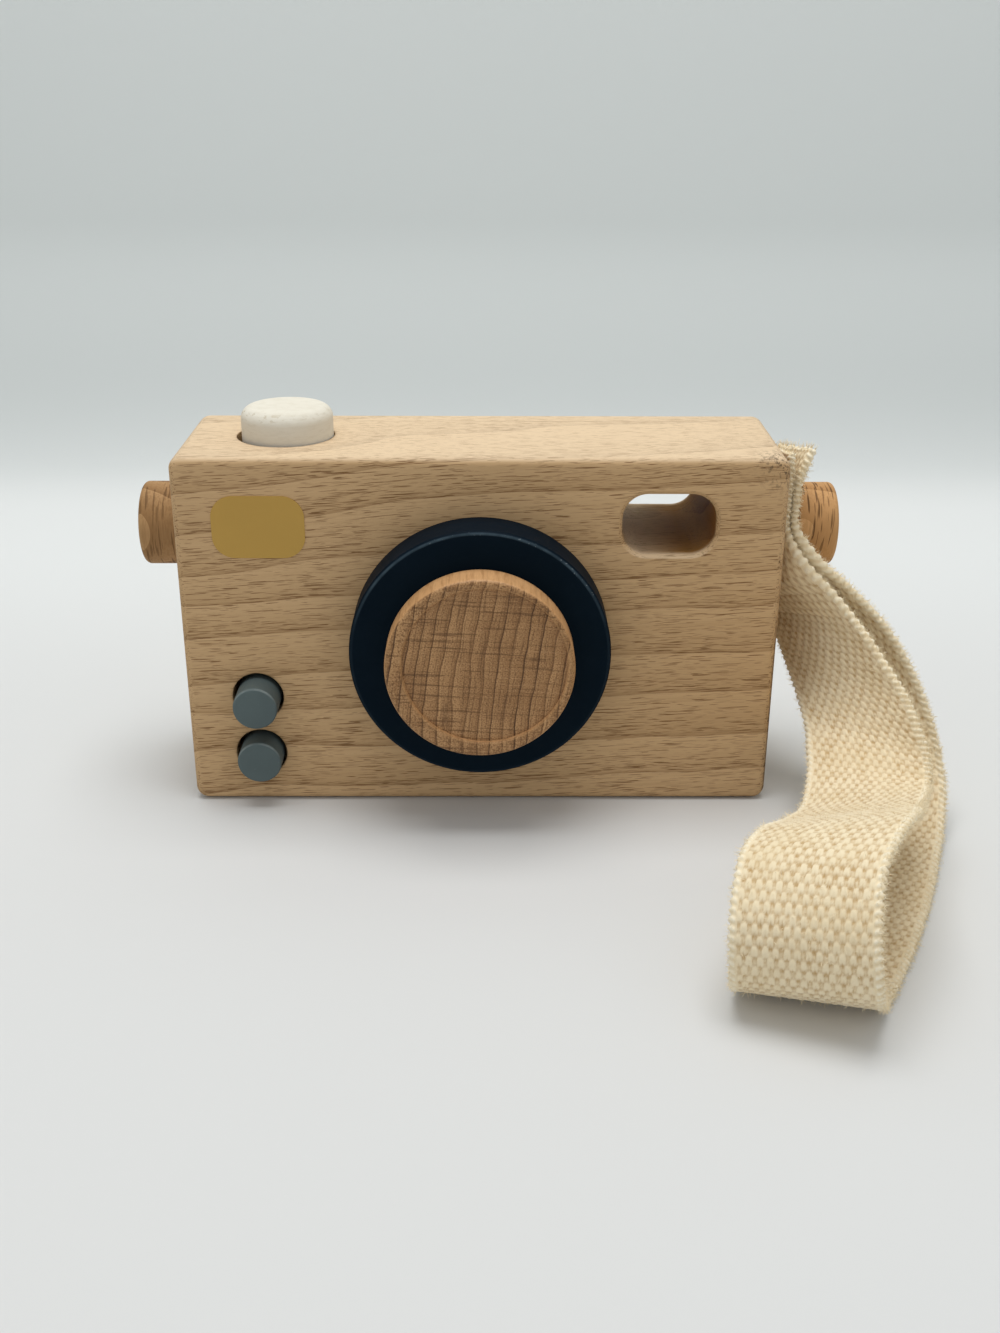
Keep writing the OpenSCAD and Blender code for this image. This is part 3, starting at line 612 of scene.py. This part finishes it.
def lens_material():
    """End grain: uneven bowed growth rings across the face, thin rays square to them, open pores; a paler side."""
    g = Graph("beech_end_grain", Roughness=0.5, Specular_IOR_Level=0.3)
    x, y, z = g.split()
    wobble = g.noise((90, 6, 45), 3.0, 0.6)
    bow = g.times(g.squared(g.minus(z, 0.022)), 3.0)
    ring = g.plus(g.minus(g.minus(x, bow), g.times(z, 0.05)), g.times(wobble, 0.0034))
    place = g.times(ring, RINGS_PER_M)
    phase = g.math("FRACT", place)
    luck = g.add("ShaderNodeTexWhiteNoise", {"noise_dimensions": "1D"}, W=g.math("FLOOR", place)).outputs["Value"]
    line = g.times(g.ramp(phase, 0.85, 0.95), g.ramp(phase, 1.0, 0.98), g.ramp(luck, 0.0, 1.0, 0.45, 1.0))
    rays = g.noise((60, 60, 2100), 2.0, 0.6, g.join(x, y, g.plus(z, g.times(x, 0.05))))
    fine = g.noise((2600, 60, 90), 2.0, 0.6, g.join(ring, y, z))
    pores = g.noise((3400, 400, 3400), 2.0, 0.6)
    patch = g.noise((110, 40, 110), 2.0)
    colour = g.mix(g.math("POWER", phase, 1.5), rgb(186, 144, 98), rgb(148, 108, 67))
    colour = g.mix(g.ramp(patch, 0.35, 0.7, 0.0, 0.6), colour, rgb(146, 106, 66))
    colour = g.mix(g.ramp(fine, 0.50, 0.66, 0.0, 0.6), colour, rgb(96, 64, 33))
    colour = g.mix(g.ramp(rays, 0.56, 0.63, 0.0, 0.6), colour, rgb(86, 55, 27))
    colour = g.mix(g.ramp(rays, 0.44, 0.32, 0.0, 0.35), colour, rgb(190, 150, 106))
    colour = g.mix(g.ramp(pores, 0.48, 0.66, 0.0, 0.7), colour, rgb(100, 67, 36))
    colour = g.mix(g.ramp(pores, 0.44, 0.28, 0.0, 0.6), colour, rgb(202, 163, 117))
    colour = g.mix(g.times(line, 0.85), colour, rgb(62, 37, 17))
    # Painted highlight: a thin lighter ring round the edge of the recess.
    radius = g.distance(g.minus(x, DISH_X), g.minus(z, DISH_Z))
    lip_highlight = g.times(g.ramp(radius, 0.01585, 0.01600), g.ramp(radius, 0.01645, 0.01625))
    colour = g.mix(g.times(lip_highlight, 0.12), colour, rgb(226, 176, 118))
    facing = g.math("ABSOLUTE", g.normal()[1])
    colour = g.mix(g.ramp(facing, 0.85, 0.25, 0.0, 0.74), colour, rgb(210, 162, 111))
    side_grain = g.ramp(g.noise((1500, 160, 1500), 3.0, 0.65), 0.48, 0.66, 0.0, 0.5)
    colour = g.mix(g.times(side_grain, g.ramp(facing, 0.7, 0.3)), colour, rgb(150, 104, 60))
    height = g.minus(g.times(pores, 0.6), line)
    return g.finish(Base_Color=colour, Normal=g.bump(height, 0.35, 0.00012, g.bevel(0.0003)))


def plain_wood():
    g, colour, normal = beech("dowel_wood", rgb(222, 192, 148), rgb(200, 164, 118), rgb(150, 114, 76), "Y")
    return g.finish(Base_Color=colour, Normal=normal)


# Paint and steel

LENS_Z = 0.0365
BUTTON_X = -0.0389


def painted(name, base, worn, rough, spec, wear_and_highlight=None):
    """Matt paint with a faint tone drift, tiny specks and a soft surface; the last argument adds the piece's own worn
    places, and on the ring and the small buttons a painted highlight.
    """
    g = Graph(name, Roughness=rough, Specular_IOR_Level=spec)
    drift = g.noise((90, 90, 90))
    speck = g.noise((1900, 1900, 1900), 2.0)
    colour = g.mix(g.ramp(drift, 0.35, 0.7, 0.0, 0.4), base, worn)
    colour = g.mix(g.ramp(speck, 0.66, 0.74, 0.0, 0.4), colour, worn)
    height = g.noise((700, 700, 700))
    if wear_and_highlight:
        colour, height = wear_and_highlight(g, colour, height)
    return g.finish(Base_Color=colour, Normal=g.bump(height, 0.25, 0.00012))


def ring_highlight_and_chips(g, colour, height):
    """A painted highlight along the ring's front edge, mostly its upper half, with pale chips towards its upper
    right.
    """
    x, y, z = g.split()
    high = g.minus(z, LENS_Z)
    radius = g.distance(x, high)
    rim = g.times(g.ramp(radius, 0.02485, 0.0252), g.ramp(radius, 0.0256, 0.02535), g.ramp(y, -0.0256, -0.0261),
                  g.ramp(high, 0.004, 0.019, 0.15, 1.0))
    upper = g.ramp(g.plus(high, g.times(x, 0.45)), 0.014, 0.026)
    highlight_noise = g.ramp(g.noise((300, 300, 300)), 0.3, 0.75, 0.4, 0.8)
    # Painted highlight on the rounded front edge, broken up by noise.
    colour = g.mix(g.times(rim, highlight_noise), colour, rgb(70, 86, 96))
    chip = g.ramp(g.noise((2300, 2300, 2300), 2.0), 0.65, 0.71)
    return g.mix(g.times(rim, upper, chip), colour, rgb(128, 138, 142)), height


def button_wear(g, colour, height):
    """Chips along the button's top edge, mostly at its left, and a chalky, faintly brushed side."""
    x, y, z = g.split()
    radius = g.distance(g.minus(x, BUTTON_X), y)
    rim = g.times(g.ramp(radius, 0.0070, 0.0084), g.ramp(z, 0.0778, 0.0792))
    chip = g.times(rim, g.ramp(g.noise((600, 600, 1700), 3.0, 0.6), 0.56, 0.62))
    brush = g.noise((500, 500, 2600), 3.0, 0.6)
    colour = g.mix(g.ramp(brush, 0.45, 0.7, 0.0, 0.25), colour, rgb(200, 192, 172))
    colour = g.mix(g.times(chip, g.ramp(x, -0.034, -0.045, 0.2, 0.7)), colour, rgb(186, 174, 148))
    height = g.plus(g.times(height, 0.6), g.times(brush, 0.6))
    return colour, g.minus(height, chip)


def peg_edge_highlight(g, colour, height):
    """A painted highlight on the upper part of a small button's rounded front edge."""
    normal = g.normal()
    rim = g.times(g.ramp(normal[1], -0.15, -0.45), g.ramp(normal[1], -0.99, -0.93), g.ramp(normal[2], 0.1, 0.5))
    highlight_noise = g.ramp(g.noise((500, 500, 500)), 0.3, 0.7, 0.2, 0.5)
    return g.mix(g.times(rim, highlight_noise), colour, rgb(150, 160, 158)), height


def steel():
    g = Graph("spring_steel", Metallic=1.0)
    line = g.noise((900, 900, 4000), 2.0)
    return g.finish(Base_Color=g.mix(line, rgb(150, 150, 152), rgb(190, 190, 190)),
                    Roughness=g.ramp(line, 0.3, 0.7, 0.28, 0.42))


paint(["front_block", "back_plate"], block_material())
paint(["left_knob"], knob_material("beech_left_knob", rgb(178, 141, 98), rgb(132, 97, 60), rgb(78, 52, 28), 0.6))
paint(["right_knob"], knob_material("beech_right_knob", rgb(202, 157, 107), rgb(166, 122, 76), rgb(64, 38, 18), 0.75))
paint(["lens"], lens_material())
paint(["lens_axle", "axle_disc", "shutter_pin", "upper_button_pin", "lower_button_pin", "left_knob_dowel",
       "right_knob_dowel"], plain_wood())
paint(["lens_ring"], painted("navy_paint", rgb(8, 21, 31), rgb(13, 27, 38), 0.5, 0.03, ring_highlight_and_chips))
paint(["upper_button", "lower_button"],
      painted("grey_paint", rgb(83, 95, 96), rgb(95, 109, 109), 0.55, 0.15, peg_edge_highlight))
paint(["shutter_button"], painted("white_paint", rgb(223, 218, 204), rgb(216, 210, 194), 0.8, 0.15, button_wear))
paint(["flash_print"], painted("mustard_paint", rgb(186, 150, 79), rgb(180, 145, 77), 0.8, 0.1))


def add_springs(material):
    """Stands a steel copy in for each spring and hides the part's own spring; the spring shortens from its fixed end
    as its button is pressed, but the copy keeps its length.
    """
    for joint in frame["joints"]:
        for row in joint.get("deforming_nodes", ()):
            node, letter = row["node"], row["mode"][-1]
            axis = "xyz".index(letter)
            paint([node], material)
            coil = bpy.data.objects.new(node + "_coil", NODES[node].data.copy())
            SCENE.collection.objects.link(coil)
            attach(coil, "camera_body")
            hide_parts(node)
            along, anchor = [0.0, 0.0, 0.0], [0.0, 0.0, 0.0]
            along[axis], anchor[axis] = 1.0, row["fixed_end_%s_m" % letter]
            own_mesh(coil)


add_springs(steel())


# Paper sweep and lights

SWEEP_FRONT, SWEEP_BEND, SWEEP_R = -1.2, 0.235, 0.08    # where the paper starts, where it bends up, and how tightly
SWEEP_TOP, SWEEP_HALF_W = 1.4, 4.0
SWEEP_DROP = 0.0002              # how far it lies below the part's base
BEND_STEPS = 16
WORLD_STRENGTH = 0.58
LAMP_AT, LAMP_TARGET = (-0.01, 0.01, 0.80), (-0.01, 0.01, 0.0)
LAMP_SIZE, LAMP_WATTS = (0.50, 0.42), 3.9


def add_stage():
    """Pale paper that runs under the camera and bends up behind it, with painted light and shade graded along it."""
    profile = [(SWEEP_FRONT, 0.0), (SWEEP_BEND, 0.0)]
    for k in range(1, BEND_STEPS + 1):
        a = math.pi / 2 * k / BEND_STEPS
        profile.append((SWEEP_BEND + SWEEP_R * math.sin(a), SWEEP_R * (1 - math.cos(a))))
    profile.append((SWEEP_BEND + SWEEP_R, SWEEP_TOP))
    vertices = [(x, y, z - SWEEP_DROP) for y, z in profile for x in (-SWEEP_HALF_W, SWEEP_HALF_W)]
    faces = [(2 * i, 2 * i + 1, 2 * i + 3, 2 * i + 2) for i in range(len(profile) - 1)]
    mesh = bpy.data.meshes.new("floor_sweep")
    mesh.from_pydata(vertices, [], faces)
    mesh.polygons.foreach_set("use_smooth", np.ones(len(mesh.polygons), bool))
    sweep = bpy.data.objects.new("floor_sweep", mesh)
    SCENE.collection.objects.link(sweep)
    g = Graph("pale_paper", Roughness=0.95, Specular_IOR_Level=0.1)
    _, far, high = g.split()
    # Painted light and shade on the paper: a little lighter from 2 to 16 cm back, darker from 18 to 30 cm back, and
    # lighter again up the wall.
    paper = g.mix(g.ramp(far, 0.02, 0.16), rgb(216, 217, 216), rgb(224, 226, 225))
    paper = g.mix(g.ramp(far, 0.18, 0.30), paper, rgb(193, 198, 197))
    mesh.materials.append(g.finish(Base_Color=g.mix(g.ramp(high, 0.012, 0.075), paper, rgb(209, 214, 213))))


def add_light():
    """Even white surroundings and one large lamp overhead."""
    world = bpy.data.worlds.new("studio")
    world.use_nodes = True
    world.node_tree.nodes["Background"].inputs["Color"].default_value = (1.0, 1.0, 1.0, 1.0)
    world.node_tree.nodes["Background"].inputs["Strength"].default_value = WORLD_STRENGTH
    SCENE.world = world
    data = bpy.data.lights.new("overhead", "AREA")
    data.shape = "RECTANGLE"
    data.size, data.size_y = LAMP_SIZE
    data.energy = LAMP_WATTS
    lamp = bpy.data.objects.new("overhead", data)
    SCENE.collection.objects.link(lamp)
    lamp.location = LAMP_AT
    lamp.rotation_euler = (Vector(LAMP_TARGET) - Vector(LAMP_AT)).to_track_quat("-Z", "Y").to_euler()


add_stage()
add_light()
